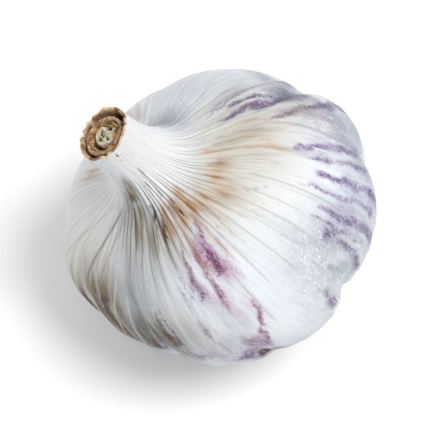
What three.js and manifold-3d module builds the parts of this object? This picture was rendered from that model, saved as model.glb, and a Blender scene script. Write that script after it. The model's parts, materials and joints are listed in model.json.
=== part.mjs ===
// Garlic bulb, whole, with its neck cut short and its roots trimmed. It leans over and rests on
// the edge of its trimmed roots and on two of its cloves.
// Millimetres, +Z up, origin on the floor under the middle of the bulb's box.
//
// Everything is first shaped in the bulb's own frame: z runs up the bulb's axis, from the
// underside of the cloves to the cut end of the neck, and angles go round that axis from +x.
// One group then leans that frame over towards -x and stands it on the floor.

import * as THREE from 'three';
import { mergeVertices } from 'three/addons/utils/BufferGeometryUtils.js';
import Module from 'manifold-3d';

// ---------------------------------------------------------------- driving dimensions

const LEAN = 36; // degrees between the bulb's axis and upright
const FLOOR_DROP = 10.25; // how far the floor lies below the bulb frame's origin
const ACROSS = 0.975; // width front to back over width left to right

// Outline of the wrapped bulb before its cloves bulge, as [radius, height] from the seat of the
// root plate, round the belly and the shoulder, to the end of the neck.
const OUTLINE = [
  [8, 2.5], [13, 1.5], [20, 3], [26, 9.5], [29.5, 17.5], [29.3, 25.5], [26.6, 33], [21.2, 38.8],
  [14.5, 41.8], [9.4, 43.8], [6.8, 47], [5.8, 51], [5.4, 54.5], [5.3, 58],
];

// The cloves that show through the skin, going round: the angle of the crease where each one
// starts, how deep that crease is, and how far the clove stands out from the outline.
const CLOVES = [
  { start: 12, crease: 2.2, bulge: 2.7 },
  { start: 45, crease: 1.6, bulge: 0.9 },
  { start: 96, crease: 0.8, bulge: 1.2 },
  { start: 134, crease: 1.3, bulge: 3.3 },
  { start: 176, crease: 0.6, bulge: 2.8 },
  { start: 210, crease: 0.6, bulge: -0.6 },
  { start: 243, crease: 2.6, bulge: 0.5 },
  { start: 280, crease: 0.2, bulge: 2.9 },
  { start: 321, crease: 2.4, bulge: 3.2 },
];
const CREASE_SHARPNESS = 2.5; // power of the fall from a clove's ridge to its crease
const BULGE_RISE = [0.02, 0.33]; // stretch of the outline over which the bulges come in
const BULGE_FALL = [0.4, 0.68]; // and the stretch over which they fade out to the neck

// The cut end of the neck: the outer sheath belongs to the bulb, with the others nested in it.
const GAP = 0.3; // clearance between nested layers
const OUTER_WALL = 0.8;
const NECK_BORE_DEPTH = 7;
const MIDDLE_SHEATH = { outer: 4.2, wall: 0.85, top: 57.6, crumple: 0.18, waves: 7 };
const INNER_SHEATH = { outer: 3.05, wall: 0.75, top: 57.2, crumple: 0.14, waves: 7 };
const STEM_CORE = { radius: 2.0, top: 56.8 };

// The root plate: a corky disc under the cloves, with the brush of trimmed roots that grows from
// it and spreads towards its cut ends.
const PLATE_RADIUS = 7.8;
const PLATE_THICKNESS = 2.2;
const ROOT_SPREAD = 11.3; // radius of the brush at its cut ends
const ROOT_LENGTH = 5.4; // from the plate's underside to the cut ends
const ROOT_CLUMPS = 12; // clumps round the rim of the brush
const CLUMP_DEPTH = 0.35;

// Fineness of the meshes.
const AROUND_BULB = 90;
const ALONG_OUTLINE = 36;
const AROUND_NECK = 42;
const AROUND_ROOTS = 72;

// ---------------------------------------------------------------- small helpers

const radians = THREE.MathUtils.degToRad;

// 0 before start, 1 after end, smooth between.
function ramp(value, [start, end]) {
  return THREE.MathUtils.smoothstep(value, start, end);
}

// One closed ring of points: radiusAt and heightAt take the angle in radians.
function ring(count, radiusAt, heightAt, across = 1) {
  const points = [];
  for (let i = 0; i < count; i += 1) {
    const angle = (2 * Math.PI * i) / count;
    const radius = radiusAt(angle);
    const y = radius * Math.sin(angle) * across;
    points.push(new THREE.Vector3(radius * Math.cos(angle), y, heightAt(angle)));
  }
  return points;
}

// Skin over a stack of rings. With capped ends the first and last rings are closed by fans to
// their centres; otherwise the last ring joins the first and the solid is a tube wall.
function loft(rings, capped) {
  const count = rings[0].length;
  const vertices = rings.flat();
  const triangles = [];
  const spans = capped ? rings.length - 1 : rings.length;
  for (let r = 0; r < spans; r += 1) {
    const lower = r * count;
    const upper = ((r + 1) % rings.length) * count;
    for (let i = 0; i < count; i += 1) {
      const next = (i + 1) % count;
      triangles.push(lower + i, lower + next, upper + next);
      triangles.push(lower + i, upper + next, upper + i);
    }
  }
  if (capped) {
    const last = (rings.length - 1) * count;
    const bottom = vertices.push(centre(rings[0])) - 1;
    const top = vertices.push(centre(rings[rings.length - 1])) - 1;
    for (let i = 0; i < count; i += 1) {
      const next = (i + 1) % count;
      triangles.push(bottom, next, i);
      triangles.push(top, last + i, last + next);
    }
  }
  const geometry = new THREE.BufferGeometry().setFromPoints(vertices);
  geometry.setIndex(triangles);
  return geometry;
}

function centre(points) {
  const sum = new THREE.Vector3();
  points.forEach((point) => sum.add(point));
  return sum.divideScalar(points.length);
}

function finish(material, name, geometry) {
  geometry.computeVertexNormals();
  const mesh = new THREE.Mesh(geometry, material);
  mesh.name = name;
  return mesh;
}

// ---------------------------------------------------------------- shape of the wrapped bulb

// How far the skin stands out from the outline at an angle round the bulb, in degrees.
function bulgeAt(degrees) {
  const count = CLOVES.length;
  const turned = THREE.MathUtils.euclideanModulo(degrees - CLOVES[0].start, 360) + CLOVES[0].start;
  let index = count - 1;
  while (turned < CLOVES[index].start) index -= 1;
  const clove = CLOVES[index];
  const after = CLOVES[(index + 1) % count];
  const before = CLOVES[(index + count - 1) % count];
  const end = index === count - 1 ? after.start + 360 : after.start;
  // -1 at the crease where the clove starts, 0 on its ridge, 1 at the crease where it ends
  const across = (2 * (turned - clove.start)) / (end - clove.start) - 1;
  const neighbour = across < 0 ? before : after;
  const crease = across < 0 ? clove.crease : after.crease;
  const shared = (clove.bulge + neighbour.bulge) / 2;
  const level = THREE.MathUtils.lerp(clove.bulge, shared, ramp(Math.abs(across), [0, 1]));
  return level - crease * Math.abs(across) ** CREASE_SHARPNESS;
}

// The ring of skin at a share, 0 to 1, of the way along the outline.
function skinRing(outline, share) {
  const point = outline.getPoint(share);
  const along = outline.getTangent(share);
  const strength = ramp(share, BULGE_RISE) * (1 - ramp(share, BULGE_FALL));
  const offset = (angle) => strength * bulgeAt(THREE.MathUtils.radToDeg(angle));
  const round = THREE.MathUtils.lerp(ACROSS, 1, ramp(share, BULGE_FALL));
  const radiusAt = (angle) => point.x + along.y * offset(angle);
  const heightAt = (angle) => point.y - along.x * offset(angle);
  return ring(AROUND_BULB, radiusAt, heightAt, round);
}

// The bulb's skin, closed underneath, with the blind bore that holds the neck's inner layers.
function bulbGeometry() {
  const outline = new THREE.SplineCurve(OUTLINE.map(([r, z]) => new THREE.Vector2(r, z)));
  const rings = [];
  for (let i = 0; i <= ALONG_OUTLINE; i += 1) {
    rings.push(skinRing(outline, i / ALONG_OUTLINE));
  }
  const [neckRadius, neckTop] = OUTLINE[OUTLINE.length - 1];
  const bore = neckRadius - OUTER_WALL;
  rings.push(ring(AROUND_BULB, () => neckRadius - OUTER_WALL / 2, () => neckTop + 0.2));
  rings.push(ring(AROUND_BULB, () => bore, () => neckTop));
  rings.push(ring(AROUND_BULB, () => bore, () => neckTop - NECK_BORE_DEPTH));
  return loft(rings, true);
}

// ---------------------------------------------------------------- layers inside the neck

// A crumpled tube of dry leaf sheath, standing on the bottom of the bore with a gap under it.
function sheathGeometry({ outer, wall, top, crumple, waves }) {
  const neckTop = OUTLINE[OUTLINE.length - 1][1];
  const bottom = neckTop - NECK_BORE_DEPTH + GAP;
  const lip = 0.25; // the cut edge stands a little proud in the middle of the wall
  const wave = (angle) => crumple * Math.sin(waves * angle) - crumple;
  const layer = (inset, height) => ring(AROUND_NECK, (a) => outer - inset + wave(a), () => height);
  return loft([
    layer(0, bottom), layer(0, top), layer(wall / 2, top + lip), layer(wall, top), layer(wall, bottom),
  ], false);
}

// The pale pith of the flower stalk in the middle of the neck.
function stemCoreGeometry() {
  const neckTop = OUTLINE[OUTLINE.length - 1][1];
  const bottom = neckTop - NECK_BORE_DEPTH + GAP;
  const { radius, top } = STEM_CORE;
  const shrunk = (angle) => radius * (0.86 + 0.05 * Math.sin(3 * angle));
  const slanted = (angle) => top + 0.15 * Math.cos(angle);
  return loft([
    ring(AROUND_NECK, shrunk, () => bottom),
    ring(AROUND_NECK, shrunk, slanted),
    ring(AROUND_NECK, (a) => 0.55 * shrunk(a), (a) => slanted(a) + 0.2),
  ], true);
}

// ---------------------------------------------------------------- root plate

function rootPlateGeometry() {
  const seat = OUTLINE[0][1] - GAP;
  const underside = seat - PLATE_THICKNESS;
  const cutEnds = underside - ROOT_LENGTH;
  const middle = (PLATE_RADIUS + ROOT_SPREAD) / 2;
  const clumped = (radius, depth) => (angle) => radius - depth * (1 - Math.cos(ROOT_CLUMPS * angle));
  const level = (radius, depth, height) => ring(AROUND_ROOTS, clumped(radius, depth), () => height);
  return loft([
    level(ROOT_SPREAD, CLUMP_DEPTH, cutEnds),
    level(middle + 0.4, CLUMP_DEPTH, (cutEnds + underside) / 2),
    level(PLATE_RADIUS, CLUMP_DEPTH / 2, underside),
    level(PLATE_RADIUS, 0, underside + PLATE_THICKNESS / 2),
    level(PLATE_RADIUS - 1.2, 0, seat),
  ], true);
}

// ---------------------------------------------------------------- the flats it rests on

// The lean and the floor's height, as the transform from the bulb frame to the standing part.
const stand = new THREE.Matrix4().makeRotationY(-radians(LEAN));
stand.setPosition(0, 0, FLOOR_DROP);

const wasm = await Module();
wasm.setup();

function toManifold(geometry) {
  const plain = geometry.clone();
  plain.deleteAttribute('normal');
  plain.deleteAttribute('uv');
  const merged = mergeVertices(plain, 1e-5);
  const mesh = new wasm.Mesh({
    numProp: 3,
    vertProperties: new Float32Array(merged.attributes.position.array),
    triVerts: new Uint32Array(merged.index.array),
  });
  return new wasm.Manifold(mesh);
}

function fromManifold(solid) {
  const { vertProperties, triVerts } = solid.getMesh();
  const geometry = new THREE.BufferGeometry();
  geometry.setAttribute('position', new THREE.BufferAttribute(vertProperties, 3));
  geometry.setIndex(new THREE.BufferAttribute(triVerts, 1));
  return geometry;
}

// Press a solid of the bulb frame flat where it touches the floor.
function pressedOnFloor(geometry) {
  const size = 200;
  const block = new THREE.BoxGeometry(size, size, size);
  block.translate(0, 0, -size / 2);
  block.applyMatrix4(stand.clone().invert());
  return fromManifold(toManifold(geometry).subtract(toManifold(block)));
}

// ---------------------------------------------------------------- materials and assembly

const skin = new THREE.MeshStandardMaterial({ color: 0xe9e6e2, roughness: 0.6, metalness: 0 });
const drySheath = new THREE.MeshStandardMaterial({ color: 0x9a7146, roughness: 0.8, metalness: 0 });
const innerHusk = new THREE.MeshStandardMaterial({ color: 0xb08a5c, roughness: 0.8, metalness: 0 });
const pith = new THREE.MeshStandardMaterial({ color: 0xd8d4b0, roughness: 0.85, metalness: 0 });
const cork = new THREE.MeshStandardMaterial({ color: 0xb59a72, roughness: 0.9, metalness: 0 });

const leaning = new THREE.Group();
leaning.applyMatrix4(stand);
leaning.add(
  finish(skin, 'bulb', pressedOnFloor(bulbGeometry())),
  finish(drySheath, 'middle_sheath', sheathGeometry(MIDDLE_SHEATH)),
  finish(innerHusk, 'inner_sheath', sheathGeometry(INNER_SHEATH)),
  finish(pith, 'stem_core', stemCoreGeometry()),
  finish(cork, 'root_plate', pressedOnFloor(rootPlateGeometry())),
);

// Centre the part over the origin.
const garlic = new THREE.Group();
garlic.add(leaning);
garlic.updateMatrixWorld(true);
const box = new THREE.Box3().setFromObject(garlic, true);
leaning.position.x -= (box.min.x + box.max.x) / 2;
leaning.position.y -= (box.min.y + box.max.y) / 2;
garlic.updateMatrixWorld(true);

export default garlic;
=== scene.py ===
import json
import math

import bpy
import numpy as np
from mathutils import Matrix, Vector


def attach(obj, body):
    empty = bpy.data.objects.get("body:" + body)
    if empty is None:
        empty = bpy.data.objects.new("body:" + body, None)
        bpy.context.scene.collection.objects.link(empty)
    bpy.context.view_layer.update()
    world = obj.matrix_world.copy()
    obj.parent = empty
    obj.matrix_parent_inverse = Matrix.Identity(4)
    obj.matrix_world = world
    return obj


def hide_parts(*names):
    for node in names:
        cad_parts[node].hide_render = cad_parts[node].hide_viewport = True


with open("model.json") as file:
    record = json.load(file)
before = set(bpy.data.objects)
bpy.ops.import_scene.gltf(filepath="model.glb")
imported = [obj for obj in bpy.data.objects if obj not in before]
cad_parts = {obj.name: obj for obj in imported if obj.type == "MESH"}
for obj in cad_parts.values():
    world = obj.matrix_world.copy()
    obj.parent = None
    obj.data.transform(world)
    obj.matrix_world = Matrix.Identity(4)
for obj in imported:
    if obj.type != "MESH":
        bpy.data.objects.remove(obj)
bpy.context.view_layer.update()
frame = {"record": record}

MM = 0.001  # lengths below are in millimetres, and Blender's are in metres

# ---------------- the part's driving dimensions
# They repeat the CAD part's: the bulb's own frame has z up its axis, and angles, in degrees, go
# round that axis. A "share" is how far along the outline a point lies, 0 at the root plate and
# 1 at the cut end of the neck. A "turn" is how far round it lies, 0 to 1.

OUTLINE = np.array([
    (8, 2.5), (13, 1.5), (20, 3), (26, 9.5), (29.5, 17.5), (29.3, 25.5), (26.6, 33), (21.2, 38.8),
    (14.5, 41.8), (9.4, 43.8), (6.8, 47), (5.8, 51), (5.4, 54.5), (5.3, 58),
])
OUTLINE_LENGTH = 98  # about how far it is along the outline
CLOVE_STARTS = np.array([12, 45, 96, 134, 176, 210, 243, 280, 321])
CLOVE_CREASES = np.array([2.2, 1.6, 0.8, 1.3, 0.6, 0.6, 2.6, 0.2, 2.4])
CLOVE_BULGES = np.array([2.7, 0.9, 1.2, 3.3, 2.8, -0.6, 0.5, 2.9, 3.2])
CREASE_SHARPNESS = 2.5
BULGE_RISE = (0.02, 0.33)  # between these shares the cloves' bulges grow
BULGE_FALL = (0.4, 0.68)  # and between these they die away into the neck
ACROSS = 0.975  # the belly is a little narrower from front to back
NECK_TOP = OUTLINE[-1][1]
NECK_BORE_DEPTH = 7
PLATE_SEAT = 2.2
PLATE_RADIUS = 7.8
ROOTS_END = -5.4
ROOT_SPREAD = 11.3

# ---------------- where the CAD part stands

mounts = {mount["name"]: mount for mount in frame["record"]["mounts"]}
AXIS = -np.array(mounts["roots_face"]["axis"])
AXIS /= np.linalg.norm(AXIS)
FRONT_BACK = np.array([0.0, 1.0, 0.0])
SIDE = np.cross(FRONT_BACK, AXIS)
BULB_ORIGIN = np.array(mounts["roots_face"]["pos_m"]) - ROOTS_END * MM * AXIS


def standing(points):
    """Points of the bulb's own frame, in millimetres, as they stand in the row, in metres."""
    x, y, z = (points[..., k:k + 1] for k in range(3))
    return BULB_ORIGIN + MM * (x * SIDE + y * FRONT_BACK + z * AXIS)


# ---------------- small maths

def ramp(value, start, end):
    """0 before start, 1 after end, smooth between. start may be the larger."""
    u = np.clip((np.asarray(value, float) - start) / (end - start), 0, 1)
    return u * u * (3 - 2 * u)


def bell(distance, width):
    """1 at no distance, and falling away smoothly on both sides."""
    return np.exp(-(distance / width) ** 2)


def degrees_from(turn, degrees):
    """Signed degrees from an angle round the bulb to each turn, -180 to 180."""
    return (turn * 360 - degrees + 180) % 360 - 180


def noise(turn, share, around, along, seed):
    """Smooth noise, -1 to 1, with that many cells round the bulb and along its outline."""
    grid = np.random.default_rng(seed).uniform(-1, 1, (around, along + 2))
    x = (turn % 1) * around
    y = np.clip(share, 0, 1) * along
    i, j = np.floor(x).astype(int), np.floor(y).astype(int)
    u, v = ramp(x - i, 0, 1), ramp(y - j, 0, 1)
    i %= around
    k = (i + 1) % around
    low = grid[i, j] * (1 - u) + grid[k, j] * u
    high = grid[i, j + 1] * (1 - u) + grid[k, j + 1] * u
    return low * (1 - v) + high * v


def cloudy(turn, share, around, along, seed, octaves=3):
    """Several sizes of noise added together, about -1 to 1."""
    total = sum(noise(turn, share, around * 2 ** n, along * 2 ** n, seed + n) / 2 ** n
                for n in range(octaves))
    return total / 1.5


# ---------------- shape of the wrapped bulb

def outline_at(share):
    """The outline's radius, height and unit tangent at each share, as a smooth spline."""
    x = np.clip(share, 0, 1) * (len(OUTLINE) - 1)
    i = np.minimum(x.astype(int), len(OUTLINE) - 2)
    w = (x - i)[..., None]
    p0 = OUTLINE[np.maximum(i - 1, 0)]
    p1 = OUTLINE[i]
    p2 = OUTLINE[i + 1]
    p3 = OUTLINE[np.minimum(i + 2, len(OUTLINE) - 1)]
    v0 = (p2 - p0) / 2
    v1 = (p3 - p1) / 2
    a = 2 * p1 - 2 * p2 + v0 + v1
    b = -3 * p1 + 3 * p2 - 2 * v0 - v1
    point = a * w ** 3 + b * w ** 2 + v0 * w + p1
    tangent = 3 * a * w ** 2 + 2 * b * w + v0
    tangent /= np.linalg.norm(tangent, axis=-1, keepdims=True)
    return point, tangent


def bulge_at(turn):
    """How far the skin stands out from the outline round the bulb."""
    count = len(CLOVE_STARTS)
    degrees = (turn * 360 - CLOVE_STARTS[0]) % 360 + CLOVE_STARTS[0]
    here = np.searchsorted(CLOVE_STARTS, degrees, side="right") - 1
    ends = np.append(CLOVE_STARTS[1:], CLOVE_STARTS[0] + 360)
    across = 2 * (degrees - CLOVE_STARTS[here]) / (ends - CLOVE_STARTS)[here] - 1
    after = (here + 1) % count
    neighbour = np.where(across < 0, (here - 1) % count, after)
    crease = np.where(across < 0, CLOVE_CREASES[here], CLOVE_CREASES[after])
    shared = (CLOVE_BULGES[here] + CLOVE_BULGES[neighbour]) / 2
    blend = ramp(np.abs(across), 0, 1)
    level = CLOVE_BULGES[here] * (1 - blend) + shared * blend
    return level - crease * np.abs(across) ** CREASE_SHARPNESS


def skin_point(turn, share, lift=0.0):
    """Points of the skin in the bulb's frame, each lifted off the plain skin by lift."""
    point, tangent = outline_at(share)
    strength = ramp(share, *BULGE_RISE) * (1 - ramp(share, *BULGE_FALL))
    out = strength * bulge_at(turn) + lift
    radius = point[..., 0] + tangent[..., 1] * out
    height = point[..., 1] - tangent[..., 0] * out
    round_off = ACROSS + (1 - ACROSS) * ramp(share, *BULGE_FALL)
    angle = 2 * math.pi * turn
    return np.stack([radius * np.cos(angle), radius * np.sin(angle) * round_off, height], -1)


def ribs(turn, share, count, seed, wander):
    """Uneven ribs that run up the skin: how far from its middle each point lies across its own
    rib, 0 to 1 in the groove beside it, and that rib's own random number, 0 to 1."""
    rng = np.random.default_rng(seed)
    edges = np.cumsum(rng.uniform(0.45, 1.55, count))
    edges /= edges[-1]
    moved = (turn + wander * noise(turn, share, 11, 5, seed + 1)) % 1
    here = np.minimum(np.searchsorted(edges, moved, side="right"), count - 1)
    starts = np.concatenate([[0], edges[:-1]])
    within = (moved - starts[here]) / (edges - starts)[here]
    own = rng.uniform(0, 1, count)[here]
    return np.abs(2 * within - 1), own


class Marks:
    """Marks laid on the skin by place. A place is (degrees round the bulb, share)."""

    def __init__(self, turn, share):
        self.turn = turn
        self.share = share
        self.radius = outline_at(share)[0][..., 0]

    def across(self, degrees):
        """Millimetres round the bulb from an angle, or from one angle for each point."""
        return self.radius * np.radians(degrees_from(self.turn, degrees))

    def stroke(self, strength, start, end, width, soft=0.02):
        """A streak from place to place, with its width in millimetres at each end."""
        along = np.clip((self.share - start[1]) / (end[1] - start[1]), 0, 1)
        middle = start[0] + (end[0] - start[0]) * along
        wide = width[0] + (width[1] - width[0]) * along
        low, high = sorted((start[1], end[1]))
        starts = ramp(self.share, low - soft, low + soft)
        stops = ramp(self.share, high - soft, high + soft)
        return strength * (bell(self.across(middle), wide) * (starts * (1 - stops)))

    def blotch(self, strength, centre, size):
        """A round stain, its size in millimetres round the bulb and along its outline."""
        along = (self.share - centre[1]) * OUTLINE_LENGTH
        return strength * np.exp(-(self.across(centre[0]) / size[0]) ** 2 - (along / size[1]) ** 2)

    def glow(self, strength, centre, spread):
        """A wide soft patch, its spread in degrees round the bulb and in share."""
        round_bulb = bell(degrees_from(self.turn, centre[0]), spread[0])
        return strength * round_bulb * bell(self.share - centre[1], spread[1])


def most(layers):
    """The strongest of several layers at each point, 0 to 1."""
    return np.clip(np.max(np.stack(layers), axis=0), 0, 1)


def crinkles(turn, share):
    """Sharp little wrinkles across the ribs, about -1 to 1, and how loose the skin is."""
    marks = Marks(turn, share)
    loose = marks.glow(1, (-36, 0.34), (15, 0.09))
    loose += marks.glow(0.4, (-84, 0.31), (12, 0.06))
    loose += 0.35 * (1 - ramp(share, 0.18, 0.36))
    wide = np.tanh(2.5 * noise(turn + 0.3 * share, share, 44, 50, 83))
    fine = np.tanh(2.5 * noise(turn - 0.35 * share, share, 80, 80, 85))
    return loose * (0.45 * wide + 0.55 * fine), loose


def pleats(turn, share):
    """The pleats' height, how deep in a groove each point lies, and how near its bottom."""
    # they are deepest on the low side of the neck, and slight where the skin is stretched
    folded = 0.1 + 0.95 * bell(degrees_from(turn, -90), 36)
    folded = folded + 0.22 * bell(degrees_from(turn, 36), 30)
    folded = folded + 0.12 * bell(degrees_from(turn, -20), 40) + 0.06 * noise(turn, share, 9, 3, 20)
    on_shoulder = ramp(share, 0.4, 0.6) * (1 - ramp(share, 0.7, 0.86))
    on_neck = ramp(share, 0.66, 0.86)
    taut = 0.85 * bell(degrees_from(turn, -38), 20) * (1 - ramp(share, 0.52, 0.64))

    across, own = ribs(turn, share, 84, 31, 0.005)
    reach = ramp(share, 0.34 + 0.22 * own, 0.52 + 0.22 * own) * (1 - taut)
    pleat_height = 1.15 * folded * on_shoulder + 0.09 * on_neck + 0.03
    height = (1 - across ** 3.2) * (0.2 + 0.8 * own ** 1.5) * reach * pleat_height
    groove = across ** 2.5 * reach * (0.3 + 0.7 * own)
    line = ramp(across, 0.72, 0.98) * reach * (0.35 + 0.65 * own)

    across, own = ribs(turn, share, 33, 47, 0.008)
    height += 0.65 * (1 - across ** 2) * own * folded * on_shoulder * (1 - taut)
    return height, groove, line


def relief(turn, share):
    """The skin's relief over the plain shape, and the pleats' grooves and their bottoms."""
    marks = Marks(turn, share)
    height, groove, line = pleats(turn, share)

    # low ribs round the underside, and fine ones all over
    across, own = ribs(turn, share, 64, 53, 0.004)
    height += 0.28 * (1 - across ** 2.4) * (0.4 + 0.6 * own) * (1 - ramp(share, 0.12, 0.34))
    across, own = ribs(turn, share, 230, 61, 0.0015)
    height += 0.035 * (1 - across ** 1.6) * own

    # the skin bridges the top of one crease, and sinks between the two cloves at the far right
    bridge = ramp(share, 0.28, 0.4) * (1 - ramp(share, 0.5, 0.66))
    height += 1.7 * bell(degrees_from(turn, -39), 8) * bridge
    height -= marks.stroke(1.9, (20, 0.54), (37, 0.38), (1.2, 2.8), 0.06)
    height -= marks.stroke(1.2, (37, 0.38), (42, 0.22), (2.8, 3), 0.06)

    # fine raised veins on the low near side
    height += 0.16 * veins(marks)

    # the cloves press soft dents and swells into the skin, which draws in between them
    height += 0.26 * cloudy(turn, share, 14, 6, 71) * (1 - ramp(share, 0.6, 0.75))
    height += 0.05 * cloudy(turn, share, 60, 30, 87)
    drawn = ramp(share, 0.02, 0.2) * (1 - ramp(share, 0.36, 0.54))
    for start in CLOVE_STARTS:
        height -= 0.6 * bell(degrees_from(turn, start), 4.5) * drawn
    height += 0.8 * crinkles(turn, share)[0]
    return height, groove, line


# ---------------- mesh building

def add_piece(name, points, faces, material, nodes=()):
    """A mesh object from points in the row's frame, riding on the part's one body."""
    mesh = bpy.data.meshes.new(name)
    mesh.from_pydata([tuple(p) for p in points.reshape(-1, 3)], [], faces)
    mesh.materials.append(material)
    mesh.polygons.foreach_set("use_smooth", [True] * len(mesh.polygons))
    mesh.update()
    piece = bpy.data.objects.new(name, mesh)
    bpy.context.collection.objects.link(piece)
    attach(piece, "root")
    if nodes:
        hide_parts(*nodes)
    return piece


def wrap_faces(rows, columns, first=0):
    """Quads over rows of points that close on themselves round each row."""
    r, c = np.meshgrid(np.arange(rows - 1), np.arange(columns), indexing="ij")
    nxt = (c + 1) % columns
    quads = np.stack([r * columns + c, r * columns + nxt, (r + 1) * columns + nxt,
                      (r + 1) * columns + c], -1)
    return (quads.reshape(-1, 4) + first).tolist()


def fan_faces(columns, row_start, centre, upward):
    """Triangles from one ring of points to a centre point."""
    ring = [row_start + c for c in range(columns)]
    pairs = zip(ring, ring[1:] + ring[:1])
    return [(a, b, centre) if upward else (b, a, centre) for a, b in pairs]


def closed_faces(rows, columns, first=0, inside_out=False):
    """Faces over rows of points, and fans that close both ends. The fans' two centre points
    follow the rows."""
    centre = first + rows * columns
    quads = wrap_faces(rows, columns, first)
    if inside_out:
        quads = [quad[::-1] for quad in quads]
    start = fan_faces(columns, first, centre, inside_out)
    end = fan_faces(columns, centre - columns, centre + 1, not inside_out)
    return quads + start + end


def grid(rows, columns, first_share=0.0):
    """The share and the turn of every point of a grid wrapped round the bulb's axis."""
    shares = np.linspace(first_share, 1, rows)
    return np.meshgrid(shares, np.arange(columns) / columns, indexing="ij")


def set_values(piece, name, values, kind="FLOAT"):
    """Stores a number or a vector at each vertex for the material to read."""
    layer = piece.data.attributes.new(name, kind, "POINT")
    key = "vector" if kind == "FLOAT_VECTOR" else "value"
    layer.data.foreach_set(key, np.asarray(values, np.float32).ravel())


# ---------------- node material helpers

class Nodes:
    """Builds one procedural material, a node at a time."""

    def __init__(self, name):
        self.material = bpy.data.materials.new(name)
        self.material.use_nodes = True
        self.tree = self.material.node_tree
        self.shader = self.tree.nodes["Principled BSDF"]

    def node(self, kind, inputs=(), **settings):
        """A new node, with its settings and its inputs filled in."""
        made = self.tree.nodes.new(kind)
        for key, value in settings.items():
            setattr(made, key, value)
        for key, value in dict(inputs).items():
            self.put(value, made.inputs[key])
        return made

    def put(self, value, socket):
        """Links another node's output to a socket, or sets the socket to a constant."""
        if isinstance(value, bpy.types.NodeSocket):
            self.tree.links.new(value, socket)
        else:
            socket.default_value = value

    def shade(self, **inputs):
        """Fills in the shader's own inputs."""
        names = {"color": "Base Color", "roughness": "Roughness", "normal": "Normal",
                 "subsurface": "Subsurface Weight", "subsurface_scale": "Subsurface Scale",
                 "subsurface_radius": "Subsurface Radius", "ior": "IOR"}
        for key, value in inputs.items():
            self.put(value, self.shader.inputs[names[key]])

    def value_of(self, name):
        return self.node("ShaderNodeAttribute", attribute_name=name).outputs["Fac"]

    def vector_of(self, name):
        return self.node("ShaderNodeAttribute", attribute_name=name).outputs["Vector"]

    def place(self):
        return self.node("ShaderNodeTexCoord").outputs["Object"]

    def scaled(self, vector, scale):
        return self.node("ShaderNodeMapping", {"Vector": vector, "Scale": scale}).outputs[0]

    def noise(self, vector, scale, detail, rough):
        inputs = {"Vector": vector, "Scale": scale, "Detail": detail, "Roughness": rough}
        return self.node("ShaderNodeTexNoise", inputs).outputs["Fac"]

    def patches(self, scale, detail, rough, edge=0.14):
        """Patches all over the piece, 0 to 1, with softer edges for a larger edge."""
        value = self.noise(self.place(), scale, detail, rough)
        return self.remap(value, 0.5 - edge, 0.5 + edge)

    def spots(self, scale):
        """How far each point lies from the middle of a spot."""
        inputs = {"Vector": self.place(), "Scale": scale}
        return self.node("ShaderNodeTexVoronoi", inputs).outputs["Distance"]

    def math(self, operation, a, b=0.0, clamp=False):
        settings = {"operation": operation, "use_clamp": clamp}
        return self.node("ShaderNodeMath", {0: a, 1: b}, **settings).outputs[0]

    def add(self, a, b):
        return self.math("ADD", a, b)

    def times(self, a, b):
        return self.math("MULTIPLY", a, b)

    def remap(self, value, low, high, to_low=0.0, to_high=1.0):
        """The value stretched smoothly from one range to another, and held at its ends."""
        inputs = {"Value": value, "From Min": low, "From Max": high, "To Min": to_low,
                  "To Max": to_high}
        return self.node("ShaderNodeMapRange", inputs, interpolation_type="SMOOTHSTEP").outputs[0]

    def mix(self, factor, a, b):
        made = self.node("ShaderNodeMix", data_type="RGBA")
        self.put(factor, made.inputs[0])
        self.put(a, made.inputs[6])
        self.put(b, made.inputs[7])
        return made.outputs[2]

    def bump(self, height, distance, strength):
        inputs = {"Height": height, "Distance": distance, "Strength": strength}
        return self.node("ShaderNodeBump", inputs).outputs[0]


def tint(red, green, blue):
    """A colour given as it looks on a screen, 0 to 255, as the linear colour a shader takes."""
    def linear(part):
        part /= 255
        return part / 12.92 if part <= 0.04045 else ((part + 0.055) / 1.055) ** 2.4
    return (linear(red), linear(green), linear(blue), 1.0)


# ---------------- painting the skin

def veins(marks):
    """Pale raised veins in the skin, 0 to 1."""
    return most([
        marks.stroke(1, (-125, 0.52), (-138, 0.35), (0.25, 0.3)),
        marks.stroke(0.8, (-120, 0.5), (-127, 0.34), (0.25, 0.3)),
        marks.stroke(0.9, (-112, 0.5), (-115, 0.34), (0.25, 0.3)),
        marks.stroke(0.6, (-117, 0.46), (-121, 0.33), (0.2, 0.25)),
        marks.stroke(0.6, (-100, 0.58), (-104, 0.44), (0.25, 0.3)),
        marks.stroke(0.7, (-92, 0.56), (-97, 0.36), (0.25, 0.35)),
        marks.stroke(0.6, (-106, 0.6), (-110, 0.48), (0.25, 0.3)),
        marks.stroke(0.5, (-86, 0.5), (-91, 0.36), (0.25, 0.3)),
    ])


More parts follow.
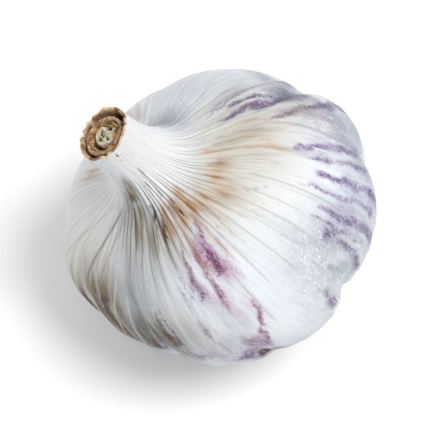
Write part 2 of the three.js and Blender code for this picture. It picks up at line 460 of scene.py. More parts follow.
def paint_purple(marks):
    """Where the skin is streaked purple, 0 to 1."""
    streaks = [
        # down the middle of the near side
        marks.stroke(0.8, (-57, 0.6), (-63, 0.52), (0.5, 1.2)),
        marks.stroke(1, (-61, 0.54), (-65, 0.48), (1.2, 1.6)),
        marks.blotch(0.6, (-64, 0.51), (3.2, 5.5)),
        marks.stroke(0.85, (-67, 0.55), (-72, 0.43), (0.6, 1)),
        marks.stroke(0.75, (-73, 0.57), (-79, 0.46), (0.6, 1.3)),
        marks.blotch(0.55, (-78, 0.48), (2.2, 4)),
        marks.stroke(0.6, (-80, 0.54), (-84, 0.45), (0.5, 0.6)),
        marks.blotch(0.35, (-72, 0.43), (5, 6)),
        # the thin line below them, and the stains round the foot of that clove
        marks.stroke(1, (-64, 0.42), (-68, 0.36), (0.45, 0.6)),
        marks.stroke(0.9, (-68, 0.37), (-76, 0.3), (0.6, 1.2)),
        marks.blotch(0.85, (-76, 0.32), (2.4, 3.6)),
        marks.blotch(0.9, (-84, 0.3), (3.6, 2.6)),
        marks.blotch(0.9, (-79, 0.27), (5, 2.2)),
        marks.stroke(0.5, (-83, 0.53), (-88, 0.33), (0.6, 0.9)),
        marks.blotch(0.8, (-97, 0.34), (3.4, 2)),
        marks.blotch(0.45, (-88, 0.33), (5, 3)),
        # over the top clove
        marks.stroke(1.1, (20.5, 0.6), (26, 0.42), (0.4, 2)),
        marks.stroke(0.9, (28.5, 0.58), (26, 0.45), (0.4, 1.1)),
        marks.stroke(0.65, (30, 0.63), (35, 0.47), (0.3, 0.6)),
        marks.stroke(0.55, (34, 0.6), (38, 0.47), (0.3, 0.5)),
        marks.blotch(0.5, (30, 0.46), (6, 7)),
        marks.stroke(0.9, (12, 0.52), (28, 0.33), (0.5, 1.6)),
        marks.blotch(0.5, (12, 0.38), (7, 9)),
        # broken lines over the right-hand clove
        marks.stroke(0.9, (-4, 0.48), (8, 0.3), (0.7, 1.8)),
        marks.stroke(0.55, (6, 0.42), (14, 0.28), (0.5, 1.2)),
        marks.stroke(0.75, (-8, 0.46), (1, 0.31), (0.5, 1.3)),
        marks.stroke(0.9, (-13, 0.44), (-6, 0.26), (0.6, 1.9)),
        marks.stroke(0.7, (-19, 0.46), (-13, 0.28), (0.4, 1.3)),
        marks.stroke(0.9, (-24, 0.42), (-19, 0.25), (0.5, 1.9)),
        marks.stroke(0.65, (-27, 0.42), (-25, 0.28), (0.4, 1.1)),
        marks.blotch(0.75, (-29, 0.37), (1.4, 1.8)),
        marks.stroke(0.85, (-29, 0.35), (-31, 0.23), (0.6, 1.6)),
        marks.blotch(0.42, (-10, 0.33), (13, 11)),
        marks.glow(0.4, (-3, 0.42), (9, 0.07)),
        marks.blotch(0.35, (-18, 0.31), (9, 9)),
        # in the crease beside it
        marks.blotch(0.7, (-46, 0.31), (1.1, 2.4)),
        marks.blotch(0.8, (-48, 0.28), (0.9, 2.6)),
        marks.blotch(0.6, (-26, 0.52), (0.35, 0.5)),
        marks.blotch(0.6, (-24, 0.505), (0.35, 0.5)),
    ]
    # the hidden sides carry the same broken lines, more faintly
    across, own = ribs(marks.turn, marks.share, 70, 91, 0.006)
    hidden = marks.glow(1, (128, 0.36), (62, 0.12))
    streaks.append(0.75 * hidden * ramp((1 - across ** 1.5) * own, 0.3, 0.8))
    streaks.append(0.3 * hidden)
    uneven = np.clip(0.95 + 0.4 * cloudy(marks.turn, marks.share, 90, 40, 621), 0.7, 1.1)
    return most(streaks) * uneven


def paint_brown(marks):
    """Dark brown stains, and along the low left edge dark brown that is partly painted shade, 0 to
    1.
    """
    return most([
        marks.blotch(0.95, (-80, 0.63), (1.4, 4.6)),
        marks.stroke(0.9, (-83, 0.71), (-80, 0.62), (0.5, 0.8)),
        # partly painted shade: the dark brown where the low left edge turns away from the lamp
        marks.stroke(0.9, (-136, 0.48), (-142, 0.36), (2.6, 4.6)),
        marks.stroke(0.5, (-97, 0.85), (-107, 0.73), (0.5, 1.2)),
        marks.stroke(0.8, (-84, 0.68), (-88, 0.56), (0.4, 0.4)),
        marks.stroke(0.6, (-60, 0.68), (-61, 0.58), (0.4, 0.45)),
        marks.stroke(0.5, (-66, 0.68), (-68, 0.6), (0.4, 0.45)),
        marks.blotch(1, (-103, 0.395), (2, 5.4)),
        marks.blotch(0.6, (-101, 0.44), (1.6, 4)),
        marks.blotch(1, (-111, 0.39), (1.6, 4)),
        marks.blotch(0.7, (-120, 0.345), (5, 2.6)),
        marks.blotch(0.35, (-124, 0.4), (6, 7)),
        marks.blotch(0.9, (-79, 0.275), (3.4, 1.6)),
        # these four are partly painted shade too, dark brown on the low left edge
        marks.blotch(0.8, (-141, 0.475), (0.8, 2)),
        marks.blotch(0.9, (-158, 0.4), (4, 3.4)),
        marks.blotch(1, (-136, 0.38), (5.4, 5.6)),
        marks.blotch(0.6, (-131, 0.42), (1.8, 6)),
        marks.blotch(0.9, (-66, 0.96), (0.25, 1.4)),
        marks.blotch(0.8, (-68, 0.93), (0.2, 0.8)),
        marks.stroke(0.5, (-67, 0.9), (-75, 0.7), (0.3, 0.7)),
        marks.stroke(0.35, (-83, 0.53), (-87, 0.34), (0.35, 0.5)),
        marks.stroke(0.4, (-60, 0.86), (-66, 0.7), (0.25, 0.4)),
        marks.stroke(0.4, (120, 0.66), (124, 0.5), (0.4, 0.6)),
        marks.stroke(0.4, (150, 0.64), (146, 0.52), (0.4, 0.6)),
    ])


def paint_lines(marks, line):
    """Thin brown lines, mostly along the bottoms of the grooves, 0 to 1."""
    turn, share = marks.turn, marks.share
    strength = np.clip(0.6 + 0.6 * cloudy(turn, share, 30, 4, 97), 0, 1)
    strength = strength * (0.3 + 0.7 * bell(degrees_from(turn, -50), 55))
    along = ramp(share, 0.44, 0.62) * (1 - 0.75 * ramp(share, 0.68, 0.8))
    return most([
        strength * along * line,
        marks.stroke(0.7, (-132, 0.69), (-152, 0.44), (0.3, 0.45)),
        marks.stroke(0.35, (-124, 0.68), (-138, 0.5), (0.25, 0.3)),
        marks.stroke(0.3, (-152, 0.66), (-167, 0.48), (0.2, 0.25)),
        marks.stroke(0.6, (-67, 0.6), (-73, 0.42), (0.2, 0.25)),
        marks.stroke(0.4, (-60, 0.56), (-64, 0.36), (0.15, 0.15)),
        marks.stroke(0.35, (-52, 0.58), (-55, 0.42), (0.15, 0.15)),
        marks.stroke(0.35, (-44, 0.58), (-46, 0.4), (0.15, 0.12)),
        marks.stroke(0.3, (-33, 0.56), (-34, 0.4), (0.15, 0.15)),
        marks.stroke(0.3, (-27, 0.58), (-28, 0.44), (0.15, 0.12)),
        marks.stroke(0.4, (-20, 0.54), (-21, 0.36), (0.15, 0.15)),
    ])


def paint_amber(marks):
    """Orange and amber stains, 0 to 1."""
    return most([
        marks.stroke(1, (-50, 0.69), (-52, 0.59), (0.9, 1)),
        marks.stroke(0.6, (-47, 0.63), (-49, 0.51), (0.4, 0.2)),
        marks.stroke(0.8, (-59, 0.68), (-62, 0.59), (1.4, 2)),
        marks.stroke(0.6, (-71, 0.68), (-76, 0.59), (1.4, 2.2)),
        marks.stroke(0.6, (-56, 0.64), (-57, 0.5), (0.5, 0.4)),
        marks.stroke(0.5, (-66, 0.6), (-68, 0.5), (0.6, 0.5)),
        marks.blotch(0.55, (-37, 0.58), (3.4, 4.4)),
        marks.blotch(0.7, (-44, 0.6), (2.4, 4.4)),
        marks.glow(0.85, (-21, 0.604), (13, 0.028)),
        marks.glow(0.75, (-32, 0.575), (8, 0.034)),
        marks.stroke(0.45, (-38, 0.62), (-37, 0.49), (0.3, 0.2)),
        marks.stroke(0.6, (-3, 0.66), (-4, 0.57), (0.5, 0.4)),
        marks.stroke(0.8, (-4, 0.57), (-5, 0.49), (0.35, 0.8)),
        marks.stroke(0.5, (3, 0.63), (2, 0.54), (0.3, 0.3)),
        marks.stroke(0.5, (13, 0.58), (13, 0.48), (0.25, 0.25)),
        marks.stroke(0.45, (7, 0.57), (5, 0.49), (0.25, 0.25)),
        marks.glow(0.25, (2, 0.53), (14, 0.05)),
        marks.blotch(0.5, (112, 0.6), (2.6, 4)),
        marks.blotch(0.5, (160, 0.6), (2.2, 3.6)),
    ])


def paint_olive(marks):
    """Olive and brownish, 0 to 1: painted shade in the fold beside the neck and on the low shaded
    side, and an olive wash where dirt and dry inner skins show through.
    """
    return most([
        marks.blotch(1.8, (-139, 0.42), (7, 10)),
        marks.blotch(0.9, (-105, 0.4), (2.6, 7)),
        marks.stroke(1, (-97, 0.85), (-107, 0.72), (0.8, 1.8), 0.04),
        marks.stroke(1, (-107, 0.73), (-98, 0.58), (1.8, 3), 0.04),
        marks.glow(0.4, (-163, 0.46), (12, 0.05)),
        marks.blotch(0.8, (-79, 0.6), (3, 7)),
        marks.glow(0.8, (-112, 0.4), (26, 0.07)),
        marks.blotch(0.8, (-158, 0.43), (5, 7)),
        marks.blotch(0.6, (-102, 0.42), (3, 7)),
        marks.blotch(0.5, (-85, 0.36), (2, 2.6)),
        marks.glow(0.8, (-92, 0.61), (15, 0.07)),
        marks.glow(0.55, (-110, 0.66), (24, 0.12)),
        marks.glow(0.35, (20, 0.55), (30, 0.09)),
        marks.blotch(0.55, (17, 0.46), (3.4, 6)),
    ])


def paint_grey(marks):
    """Blue-grey, 0 to 1: painted shade along the edges, in the folds and on the neck's flank, and
    the skin's own blue-grey where it is thin over a hollow.
    """
    return most([
        marks.blotch(1.1, (-119, 0.385), (11, 9)),
        marks.blotch(0.6, (-140, 0.4), (7, 9)),
        marks.glow(0.7, (42, 0.442), (20, 0.03)),
        marks.stroke(0.6, (24, 0.43), (15, 0.33), (1.6, 2.2)),
        marks.blotch(0.9, (28, 0.452), (3.4, 3)),
        marks.glow(0.7, (70, 0.69), (30, 0.06)),
        marks.glow(0.6, (-114, 0.48), (20, 0.12)),
        marks.glow(0.12, (80, 0.54), (46, 0.12)),
        marks.glow(0.08, (-160, 0.54), (50, 0.14)),
        marks.glow(0.3, (-112, 0.7), (20, 0.08)),
        marks.glow(0.55, (24, 0.33), (44, 0.07)),
        0.15 * bell(marks.share - 0.25, 0.1),
    ])


def paint_groove_shade(turn, share, groove):
    """Painted shade in the grooves between the pleats, 0 to 1."""
    on_shoulder = ramp(share, 0.4, 0.55) * (1 - 0.6 * ramp(share, 0.7, 0.8))
    groove_shade = np.clip(1.3 * groove, 0, 1) * on_shoulder
    return groove_shade * (0.4 + 0.6 * bell(degrees_from(turn, -95), 45))


def paint_threads(marks):
    """How strongly thin dark threads show in the skin, 0 to 1."""
    turn, share = marks.turn, marks.share
    threads = (0.3 + 0.6 * bell(degrees_from(turn, -50), 60)) * bell(share - 0.61, 0.1)
    threads = threads + marks.glow(0.75, (34, 0.52), (24, 0.1))
    return threads + 0.3 * ramp(share, 0.68, 0.78) * bell(degrees_from(turn, -70), 80)


def paint_neck(turn, share):
    """The whiter neck, but for its two shaded sides, 0 to 1."""
    shaded = 0.6 * bell(degrees_from(turn, -108), 20) + 0.8 * bell(degrees_from(turn, 68), 40)
    return ramp(share, 0.62, 0.76) * (1 - shaded)


def paint_cream(marks):
    """Cream-coloured shoulders, 0 to 1."""
    cream = marks.glow(1, (-10, 0.59), (45, 0.12))
    cream = cream + marks.glow(0.6, (-160, 0.52), (34, 0.2))
    return np.clip(cream, 0, 1)


def paint_skin(piece, turn, share, groove, line, bore):
    """Stores the skin's stains, streaks and painted shade for its material. groove and line come
    from relief, and bore says how deep in the neck's bore a point lies."""
    marks = Marks(turn, share)
    blurred_turn = turn + 0.004 * cloudy(turn, share, 70, 50, 601)
    blurred_share = share + 0.012 * cloudy(turn, share, 90, 40, 611)
    blurred = Marks(blurred_turn, blurred_share)
    in_groove = 0.7 + 0.3 * np.clip(1.5 * groove, 0, 1)
    wrinkled, loose = crinkles(turn, share)
    layers = {
        "purple": paint_purple(blurred),
        "pinkness": bell(degrees_from(turn, -66), 16),
        "brown": paint_brown(blurred),
        "amber": paint_amber(blurred) * in_groove,
        "olive": paint_olive(marks),
        "grey": paint_grey(marks),
        "lines": paint_lines(marks, line),
        "threads": paint_threads(marks),
        # painted shade in the grooves
        "groove_shade": paint_groove_shade(turn, share, groove),
        # painted shade in the crinkles' hollows; the bump dents them too
        "crinkle": np.clip(0.8 * loose * (1 - 0.6 * wrinkled), 0, 1),
        "neck": paint_neck(turn, share),
        "cream": paint_cream(marks),
        "pale": veins(marks),
        "rim": ramp(share, 0.988, 0.998),
        "bore": bore,
    }
    for name, values in layers.items():
        set_values(piece, name, values)


class SkinNodes(Nodes):
    """The papery skin's material, laid on colour over colour."""

    def __init__(self):
        super().__init__("papery_skin")
        self.flow = self.vector_of("flow")
        self.fibres = self.along(0.06, 9, 4, 0.6)
        self.streaks = self.remap(self.along(0.14, 3.2, 4, 0.6), 0.36, 0.64)
        self.dashes = self.remap(self.along(0.4, 16, 5, 0.7), 0.34, 0.66)
        self.grain = self.remap(self.along(0.7, 34, 3, 0.65), 0.34, 0.66)
        self.creased = self.creases()
        self.color = tint(230, 234, 239)

    def along(self, squeeze, scale, detail, rough):
        """Noise drawn out along the fibres, more so for a smaller squeeze."""
        return self.noise(self.scaled(self.flow, (1, 1, squeeze)), scale, detail, rough)

    def near_middle(self, noise, width, at_middle=1):
        """Thin winding lines: strongest where the noise crosses its middle."""
        away = self.math("ABSOLUTE", self.math("SUBTRACT", noise, 0.5))
        return self.remap(away, 0, width, at_middle, 0)

    def creases(self):
        """Crease lines where the skin is crumpled, for painted shade in the colour and dents in the
        bump.
        """
        wrinkles = self.near_middle(self.along(1.6, 12, 3, 0.55), 0.09)
        return self.times(wrinkles, self.value_of("crinkle"))

    def lay(self, factor, color):
        """Mixes a colour over what has been laid so far."""
        self.color = self.mix(factor, self.color, color)

    def lay_paper(self):
        """White paper with grey fibres, a cream shoulder and a whiter neck, with painted shade in
        the grooves and in the crinkles' hollows.
        """
        self.lay(self.patches(90, 3, 0.5, 0.15), tint(220, 228, 236))
        self.lay(self.remap(self.fibres, 0.48, 0.74, 0, 0.36), tint(177, 179, 180))
        self.lay(self.times(self.value_of("cream"), 0.8), tint(226, 222, 206))
        self.lay(self.value_of("neck"), tint(234, 235, 237))
        self.lay(self.times(self.grain, 0.22), tint(184, 184, 184))
        # painted shade in the grooves between the pleats
        self.lay(self.times(self.value_of("groove_shade"), 0.6), tint(134, 127, 116))
        # painted shade in the hollows of the crinkles
        self.lay(self.times(self.creased, 0.16), tint(134, 142, 164))

    def lay_threads(self):
        """Brown lines in the grooves, and thin dark threads in two sizes."""
        self.lay(self.value_of("lines"), tint(120, 86, 56))
        for scale, width, strength in ((5, 0.014, 0.75), (11, 0.03, 0.45)):
            thread = self.near_middle(self.along(0.03, scale, 2, 0.5), width, strength)
            thread = self.times(thread, self.remap(self.streaks, 0.1, 0.8, 0.3, 1))
            thread = self.times(thread, self.value_of("threads"))
            self.lay(thread, tint(108, 82, 62))

    def lay_purple(self):
        """A mauve wash, and over it broken dark purple."""
        purple = self.value_of("purple")
        pinkness = self.value_of("pinkness")
        wash = self.remap(self.add(purple, self.times(self.streaks, 0.5)), 0.2, 1.1)
        wash = self.times(wash, self.remap(purple, 0.02, 0.3))
        wash = self.times(wash, self.remap(self.grain, 0, 1, 0.55, 1))
        self.lay(wash, self.mix(pinkness, tint(172, 164, 192), tint(178, 140, 172)))
        specks = self.patches(1500, 3, 0.7)
        broken = self.add(self.times(self.dashes, 0.35), self.times(self.grain, 0.3))
        broken = self.add(broken, self.times(specks, 0.35))
        dark = self.remap(self.add(self.times(purple, 1.05), broken), 0.86, 1.72)
        dark = self.times(dark, self.remap(purple, 0.1, 0.5, 0, 0.95))
        self.lay(dark, self.mix(pinkness, tint(104, 80, 124), tint(110, 54, 90)))

    def lay_shadows(self):
        """Blue-grey and olive, partly painted shade and partly the skin's own colour."""
        patchy = self.remap(self.dashes, 0, 1, 0.78, 1)
        self.lay(self.times(self.value_of("grey"), patchy), tint(82, 94, 114))
        streaky = self.remap(self.streaks, 0, 1, 0.55, 1)
        self.lay(self.times(self.value_of("olive"), streaky), tint(108, 94, 64))

    def lay_stains(self):
        """Amber and dark brown stains, and the pale veins that stand out from them."""
        streaky = self.remap(self.streaks, 0, 1, 0.85, 1.4)
        amber = self.math("MULTIPLY", self.value_of("amber"), streaky, True)
        self.lay(amber, self.mix(self.streaks, tint(194, 158, 108), tint(154, 108, 58)))
        blots = self.add(self.times(self.streaks, 0.6), self.times(self.dashes, 0.4))
        brown = self.remap(self.add(self.value_of("brown"), blots), 0.82, 1.5)
        brown = self.times(brown, self.remap(self.value_of("brown"), 0.05, 0.35))
        self.lay(brown, self.mix(self.dashes, tint(90, 56, 30), tint(54, 34, 20)))
        self.lay(self.times(self.value_of("pale"), 0.6), tint(206, 206, 194))

    def lay_cut_edge(self):
        """The dry brown rim where the neck was cut, and painted shade in the bore inside it, darker
        the deeper it goes.
        """
        burnt = self.patches(420, 3, 0.6, 0.1)
        rim = self.mix(burnt, tint(222, 194, 156), tint(136, 92, 56))
        self.lay(self.value_of("rim"), rim)
        # painted shade: the bore darkens with its depth
        self.lay(self.remap(self.value_of("bore"), 0.1, 0.7), tint(64, 36, 18))


def skin_material():
    """Papery skin with its streaks, shadows and stains, a little see-through."""
    n = SkinNodes()
    n.lay_paper()
    n.lay_threads()
    n.lay_purple()
    n.lay_shadows()
    n.lay_stains()
    n.lay_cut_edge()
    height = n.add(n.times(n.fibres, 0.7), n.times(n.grain, 0.1))
    height = n.math("SUBTRACT", height, n.times(n.creased, 1.6))
    n.shade(color=n.color, roughness=n.remap(n.fibres, 0.3, 0.7, 0.42, 0.56))
    n.shade(subsurface=0.08, subsurface_scale=0.0016, subsurface_radius=(1, 0.8, 0.7))
    n.shade(ior=1.4, normal=n.bump(height, 0.0003, 0.7))
    return n.material


# ---------------- the wrapped bulb

SKIN_COLUMNS = 1008
SKIN_ROWS = 190
RIM_WALL = 0.55
RIM_RINGS = 3
BORE_FLOOR = NECK_TOP - NECK_BORE_DEPTH


def fray(points, turns, share):
    """Makes the cut edge of the outer sheath ragged, and flares it a little, in place."""
    once = turns * 0
    ragged = 0.35 * noise(turns, once, 9, 1, 101) + 0.3 * noise(turns, once, 40, 1, 103)
    points[..., 2] += ramp(share, 0.94, 1.0) * ragged
    flare = 1 + 0.05 * ramp(share, 0.93, 1.0) * (0.6 + noise(turns, once, 7, 1, 105))
    points[..., :2] *= flare[..., None]


def rim_rings(edge):
    """Rings that roll the cut edge over its wall, and down to the floor of the bore."""
    inward = edge * (1, 1, 0) / np.linalg.norm(edge * (1, 1, 0), axis=-1, keepdims=True)
    lip = edge - 0.35 * RIM_WALL * inward + (0, 0, 0.12)
    inner = edge - RIM_WALL * inward - (0, 0, 0.1)
    deep = inner * (1, 1, 0) + (0, 0, BORE_FLOOR)
    return np.stack([lip, inner, deep])


def build_skin():
    """The bulb in its skin, with the outer sheath of the neck, as one closed mesh."""
    share, turn = grid(SKIN_ROWS, SKIN_COLUMNS)
    height, groove, line = relief(turn, share)
    points = skin_point(turn, share, height)
    fray(points, turn[0], share)
    rings = np.concatenate([points, rim_rings(points[-1])])
    centres = np.array([[0, 0, OUTLINE[0][1]], [0, 0, BORE_FLOOR]])
    world = standing(np.concatenate([rings.reshape(-1, 3), centres]))
    world[:, 2] = np.maximum(world[:, 2], 0)  # the bulb rests on the floor
    faces = closed_faces(len(rings), SKIN_COLUMNS)
    skin = add_piece("bulb_skin", world, faces, skin_material(), ("bulb",))

    # values for every point: the skin's own, then the rim's and the bore's, then two centres
    on_rim = np.zeros(RIM_RINGS * SKIN_COLUMNS)
    every_turn = np.concatenate([np.tile(turn[0], len(rings)), [0, 0]])
    every_share = np.concatenate([share.ravel(), on_rim + 1, [0, 1]])
    every_groove = np.concatenate([groove.ravel(), on_rim, [0, 0]])
    every_line = np.concatenate([line.ravel(), on_rim, [0, 0]])
    into_bore = np.repeat([0, 0.3, 1], SKIN_COLUMNS)
    bore = np.concatenate([np.zeros(share.size), into_bore, [0, 1]])
    paint_skin(skin, every_turn, every_share, every_groove, every_line, bore)
    angle = 2 * math.pi * every_turn
    flow = np.stack([4 * np.cos(angle), 4 * np.sin(angle), 20 * every_share], -1)
    set_values(skin, "flow", flow, "FLOAT_VECTOR")


# ---------------- the cut end of the neck

SHEATH_COLUMNS = 240
SHEATH_BASE = BORE_FLOOR + 0.3


def sheath_material(name, pale, deep):
    """Dry leaf sheath, mottled between two browns."""
    n = Nodes(name)
    patches = n.patches(700, 4, 0.6)
    specks = n.patches(2600, 3, 0.6, 0.15)
    color = n.mix(patches, pale, deep)
    color = n.mix(n.times(specks, 0.5), color, tint(72, 44, 22))
    height = n.add(patches, specks)
    n.shade(color=color, roughness=0.75, ior=1.4, normal=n.bump(height, 0.00015, 0.7))
    return n.material


def sheath_rings(radius, wall, top, crumple, waves, centre, seed):
    """Rings up the outside of a dried sheath, over its ragged edge and down its inside."""
    turns = np.arange(SHEATH_COLUMNS) / SHEATH_COLUMNS
    once = turns * 0
    wave = crumple * noise(turns, once, waves, 1, seed)
    wave = wave + 0.4 * crumple * noise(turns, once, 3 * waves, 1, seed + 1)
    ragged = 0.3 * noise(turns, once, 2 * waves, 1, seed + 2)
    ragged = ragged + 0.15 * noise(turns, once, 60, 1, seed + 3)
    thick = wall * (1 + 0.35 * noise(turns, once, waves, 1, seed + 4))
    heights = np.linspace(0, 1, 12)
    profile = [(0.0, h) for h in heights] + [(0.25, 1.03), (0.6, 1.02), (1.0, 0.97)]
    profile += [(1.0, h) for h in heights[-2::-1]]
    angle = 2 * math.pi * turns
    rings = []
    for inset, level in profile:
        loose = ramp(level, 0.3, 1.0)
        out = radius - inset * thick + wave * (0.3 + 0.7 * loose)
        height = SHEATH_BASE + (top - SHEATH_BASE + ragged * loose) * level
        ring = np.stack([out * np.cos(angle), out * np.sin(angle), height + once], -1)
        rings.append(ring + loose * np.array([centre[0], centre[1], 0]))
    return np.array(rings)


def add_sheath(name, node, slot, material, *layers):
    """Dried sheaths, each closed all round, that stand for one node of the CAD part."""
    points, faces, first = [], [], 0
    for layer in layers:
        rings = sheath_rings(*layer)
        rows = len(rings)
        faces += wrap_faces(rows, SHEATH_COLUMNS, first)
        last = first + (rows - 1) * SHEATH_COLUMNS
        for here in range(SHEATH_COLUMNS):
            after = (here + 1) % SHEATH_COLUMNS
            faces.append((last + here, last + after, first + after, first + here))
        points.append(rings.reshape(-1, 3))
        first += rows * SHEATH_COLUMNS
    return add_piece(name, standing(np.concatenate(points)), faces, material, (node,))


def build_sheaths():
    """A thick sheath inside the neck, and two thin ones nested off-centre inside that."""
    # each sheath: radius, wall, top, crumple, waves round it, centre of its top, seed
    dry = sheath_material("dry_sheath", tint(222, 192, 160), tint(164, 118, 76))
    husk = sheath_material("inner_husk", tint(222, 184, 128), tint(146, 100, 54))
    add_sheath("neck_middle_sheath", "middle_sheath", "dry_sheath", dry,
               (4.15, 0.75, 57.5, 0.22, 7, (-0.2, -0.35), 201))
    add_sheath("neck_inner_sheath", "inner_sheath", "inner_husk", husk,
               (3.2, 0.3, 57.2, 0.32, 8, (-0.25, -0.4), 211),
               (2.75, 0.25, 57.4, 0.3, 9, (-0.5, -0.55), 221))


PITH_COLUMNS = 120
PITH_RINGS = 44
PITH_RADIUS = 2.45
PITH_TOP = 56.9
PITH_CENTRE = (-0.05, 0.05, 0)
PITH_HOLES = [  # x, y, width and depth of each small hollow
    (-1.0, 0.9, 0.4, 1.0),
    (-1.3, -0.5, 0.4, 0.8),
    (1.0, 1.1, 0.45, 0.9),
    (0.5, -1.0, 0.3, 1.0),
    (-0.6, 0.1, 0.3, 0.7),
]


def pith_material():
    """Pale fibrous pith, browned where it has sunk."""
    n = Nodes("fibrous_pith")
    fibres = n.patches(1500, 5, 0.65)
    color = n.mix(fibres, tint(240, 236, 218), tint(196, 182, 144))
    color = n.mix(n.value_of("depth"), color, tint(78, 50, 24))
    n.shade(color=color, roughness=0.8, ior=1.4, normal=n.bump(fibres, 0.0002, 0.8))
    return n.material


def build_pith():
    """The stem's core: a fibrous stump with small hollows, browned where it has shrunk."""
    share, turn = grid(PITH_RINGS, PITH_COLUMNS, 0.04)
    angle = 2 * math.pi * turn
    uneven = 0.1 * ramp(share, 0.4, 1) * noise(turn, share * 0, 9, 1, 301)
    radius = PITH_RADIUS * share * (1 + uneven)
    x, y = radius * np.cos(angle), radius * np.sin(angle)
    across, own = ribs(turn, share, 26, 307, 0.05)
    tuft = (1 - across ** 2) * own * ramp(share, 0.1, 0.5)
    lump = 0.3 * tuft + 0.3 * cloudy(turn, share, 10, 6, 311)
    hollow = 0
    for hole_x, hole_y, wide, deep in PITH_HOLES:
        hollow = hollow + deep * bell(np.hypot(x - hole_x, y - hole_y), wide)
    hollow = hollow + 0.5 * ramp(share, 0.86, 1.0)
    height = PITH_TOP + 0.3 + lump - hollow
    rings = np.stack([x, y, height], -1)
    foot = rings[-1] * (1, 1, 0) + (0, 0, SHEATH_BASE)
    points = np.concatenate([rings, foot[None]])
    centres = np.array([[0, 0, height[0].mean()], [0, 0, SHEATH_BASE]])
    faces = closed_faces(len(points), PITH_COLUMNS, inside_out=True)
    world = standing(np.concatenate([points.reshape(-1, 3), centres]) + PITH_CENTRE)
    pith = add_piece("neck_pith", world, faces, pith_material(), ("stem_core",))
    depth = np.clip(1.6 * hollow - 2.0 * (lump - 0.1), 0, 1)
    foot_depth = np.ones(PITH_COLUMNS)
    depths = np.concatenate([depth.ravel(), foot_depth, [depth[0].mean(), 1]])
    set_values(pith, "depth", depths)


# ---------------- the root plate and trimmed roots

PLATE_COLUMNS = 180
PLATE_RINGS = 40
ROOT_COUNT = 120
ROOT_SIDES = 10
ROOT_STEPS = 9
ROOTS_CLEAR = 0.02 * MM  # the least height of a root over the floor


def plate_material():
    """Brown cork, mottled and speckled."""
    n = Nodes("corky_plate")
    patches = n.patches(450, 4, 0.6)
    specks = n.remap(n.spots(1500), 0.1, 0.5)
    color = n.mix(patches, tint(176, 150, 116), tint(120, 92, 62))
    color = n.mix(n.times(specks, 0.3), color, tint(82, 58, 36))
    height = n.add(patches, specks)
    n.shade(color=color, roughness=0.85, ior=1.4, normal=n.bump(height, 0.0003, 0.7))
    return n.material


def root_material():
    """Straw-coloured roots, browner at the base and paler at the cut."""
    n = Nodes("dry_roots")
    patches = n.patches(600, 4, 0.6)
    color = n.mix(patches, tint(202, 180, 144), tint(150, 120, 84))
    color = n.mix(n.value_of("base"), color, tint(122, 92, 60))
    color = n.mix(n.value_of("cut"), color, tint(220, 206, 176))
    n.shade(color=color, roughness=0.8, ior=1.4, normal=n.bump(patches, 0.0002, 0.6))
    return n.material


def build_plate():
    """The corky disc that the cloves and the roots grow from."""
    share, turn = grid(PLATE_RINGS, PLATE_COLUMNS, 0.03)
    radius = PLATE_RADIUS * share * (1 + 0.02 * noise(turn, share * 0, 24, 1, 401))
    bumps = 0.18 * cloudy(turn, share, 20, 8, 405)
    under = 0.35 - 0.5 * (1 - share ** 2) + 1.2 * ramp(share, 0.85, 1.0) + bumps
    angle = 2 * math.pi * turn
    rings = np.stack([radius * np.cos(angle), radius * np.sin(angle), under], -1)
    seat = rings[-1] * (1, 1, 0) + (0, 0, PLATE_SEAT)
    points = np.concatenate([rings, seat[None]])
    centres = np.array([[0, 0, under[0].mean()], [0, 0, PLATE_SEAT]])
    faces = closed_faces(len(points), PLATE_COLUMNS)
    world = standing(np.concatenate([points.reshape(-1, 3), centres]))
    add_piece("root_plate_disc", world, faces, plate_material(), ("root_plate",))


def root_path(number, rng):
    """The middle line of one root, from inside the plate to its trimmed end."""
    share = math.sqrt((number + 0.5) / ROOT_COUNT)
    angle = number * math.pi * (3 - math.sqrt(5)) + rng.uniform(-0.15, 0.15)
    start = (PLATE_RADIUS - 0.9) * share
    end = (ROOT_SPREAD - 0.5) * share ** 0.9 + rng.uniform(-0.7, 0.5)
    length = ROOTS_END + rng.uniform(-0.2, 1.6)
    t = np.linspace(0, 1, ROOT_STEPS)
    away = start + (end - start) * t ** rng.uniform(0.8, 1.6)
    sway = rng.uniform(-0.5, 0.5) * np.sin(math.pi * t) + rng.uniform(-0.8, 0.8) * t ** 2
    x = away * math.cos(angle) - sway * math.sin(angle)
    y = away * math.sin(angle) + sway * math.cos(angle)
    return np.stack([x, y, 0.5 + (length - 0.5) * t], -1)


def build_roots():
    """The dry roots, trimmed short, splayed from the underside of the plate."""
    rng = np.random.default_rng(500)
    points, faces, base, cut = [], [], [], []
    turn = 2 * math.pi * np.arange(ROOT_SIDES) / ROOT_SIDES
    for number in range(ROOT_COUNT):
        path = root_path(number, rng)
        thick = rng.uniform(0.34, 0.58) * (1.15 - 0.45 * np.linspace(0, 1, ROOT_STEPS))
        thick = thick * rng.uniform(0.92, 1.08, ROOT_STEPS)
        first = len(points)
        for step, (middle, radius) in enumerate(zip(path, thick)):
            squash = 1 + 0.12 * np.sin(2 * turn + number)
            for side, out in zip(turn, radius * squash):
                points.append(middle + out * np.array([math.cos(side), math.sin(side), 0]))
                base.append(max(0.0, 1 - step / 3))
                cut.append(0.0)
        points.append(path[0])
        points.append(path[-1] - (0, 0, 0.08))
        base += [1.0, 0.0]
        cut += [0.0, 1.0]
        faces += closed_faces(ROOT_STEPS, ROOT_SIDES, first, inside_out=True)
    world = standing(np.array(points))
    world[:, 2] = np.maximum(world[:, 2], ROOTS_CLEAR)
    roots = add_piece("trimmed_roots", world, faces, root_material())
    set_values(roots, "base", base)
    set_values(roots, "cut", cut)


# ---------------- floor, light and camera

FLOOR = -0.0001
FLOOR_REACH = 3
FLOOR_COLOR = (0.9, 0.895, 0.89, 1)


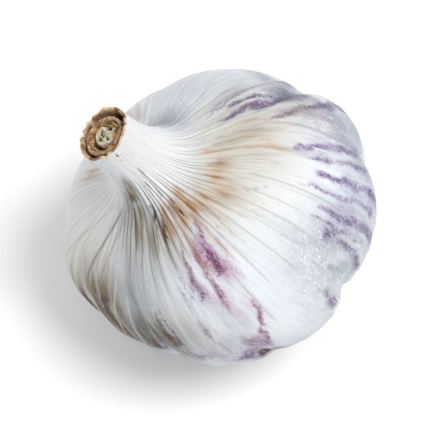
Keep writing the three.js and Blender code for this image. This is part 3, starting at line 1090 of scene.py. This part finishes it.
def paper_material():
    """Plain pale paper for the floor."""
    n = Nodes("floor_paper")
    n.shade(color=FLOOR_COLOR, roughness=0.9)
    return n.material


def build_floor():
    """A plain pale floor, just under the bulb."""
    mesh = bpy.data.meshes.new("floor")
    signs = [(-1, -1), (1, -1), (1, 1), (-1, 1)]
    corners = [(x * FLOOR_REACH, y * FLOOR_REACH, FLOOR) for x, y in signs]
    mesh.from_pydata(corners, [], [(0, 1, 2, 3)])
    mesh.materials.append(paper_material())
    floor = bpy.data.objects.new("floor", mesh)
    bpy.context.collection.objects.link(floor)


HORIZON_LIGHT = 0.95
SKY_LIGHT = 0.72
SKY_BAND = (0.2, 0.45)  # how high the horizon's light ends, and the sky's begins
KEY_LIGHT = 1.9
KEY_SPREAD = math.radians(26)
KEY_FROM = (0.44, -0.18, 0.88)
VIEW_ELEVATION = math.radians(58)
VIEW_DISTANCE = 0.42
VIEW_WIDTH = 0.0859  # width of the picture at the bulb
LOOK_HEIGHT = 20  # height on the bulb's axis that the camera looks near
LOOK_SHIFT = (-1.06, 0.67)  # and how far right and up of it, in millimetres


def build_camera():
    """A long lens, looking down on the bulb from the front."""
    back = np.array([0, -math.cos(VIEW_ELEVATION), math.sin(VIEW_ELEVATION)])
    up = np.array([0, math.sin(VIEW_ELEVATION), math.cos(VIEW_ELEVATION)])
    target = standing(np.array([0, 0, LOOK_HEIGHT]))
    target = target + MM * (LOOK_SHIFT[0] * np.array([1, 0, 0]) + LOOK_SHIFT[1] * up)
    data = bpy.data.cameras.new("camera")
    data.sensor_width = 36
    data.lens = data.sensor_width * VIEW_DISTANCE / VIEW_WIDTH
    data.clip_start = 0.01
    camera = bpy.data.objects.new("camera", data)
    camera.location = target + VIEW_DISTANCE * back
    camera.rotation_euler = (math.pi / 2 - VIEW_ELEVATION, 0, 0)
    bpy.context.collection.objects.link(camera)
    bpy.context.scene.camera = camera


def build_backdrop():
    """A studio sky: soft light from all round, and white near the horizon."""
    world = bpy.data.worlds.new("studio")
    world.use_nodes = True
    tree = world.node_tree
    direction = tree.nodes.new("ShaderNodeTexCoord").outputs["Generated"]
    parts = tree.nodes.new("ShaderNodeSeparateXYZ")
    tree.links.new(direction, parts.inputs[0])
    level = tree.nodes.new("ShaderNodeMapRange")
    level.interpolation_type = "SMOOTHSTEP"
    tree.links.new(parts.outputs["Z"], level.inputs["Value"])
    level.inputs["From Min"].default_value = SKY_BAND[0]
    level.inputs["From Max"].default_value = SKY_BAND[1]
    level.inputs["To Min"].default_value = HORIZON_LIGHT
    level.inputs["To Max"].default_value = SKY_LIGHT
    tree.links.new(level.outputs[0], tree.nodes["Background"].inputs["Strength"])
    tree.nodes["Background"].inputs["Color"].default_value = (1, 1, 1, 1)
    bpy.context.scene.world = world


def build_key():
    """One broad lamp, high on the right and a little to the front."""
    lamp = bpy.data.lights.new("key", "SUN")
    lamp.angle = KEY_SPREAD
    lamp.energy = KEY_LIGHT
    holder = bpy.data.objects.new("key", lamp)
    holder.rotation_euler = Vector(KEY_FROM).to_track_quat("Z", "Y").to_euler()
    bpy.context.collection.objects.link(holder)


bpy.context.scene.view_settings.view_transform = "Standard"
build_camera()
build_backdrop()
build_key()
build_floor()
build_skin()
build_sheaths()
build_pith()
build_plate()
build_roots()
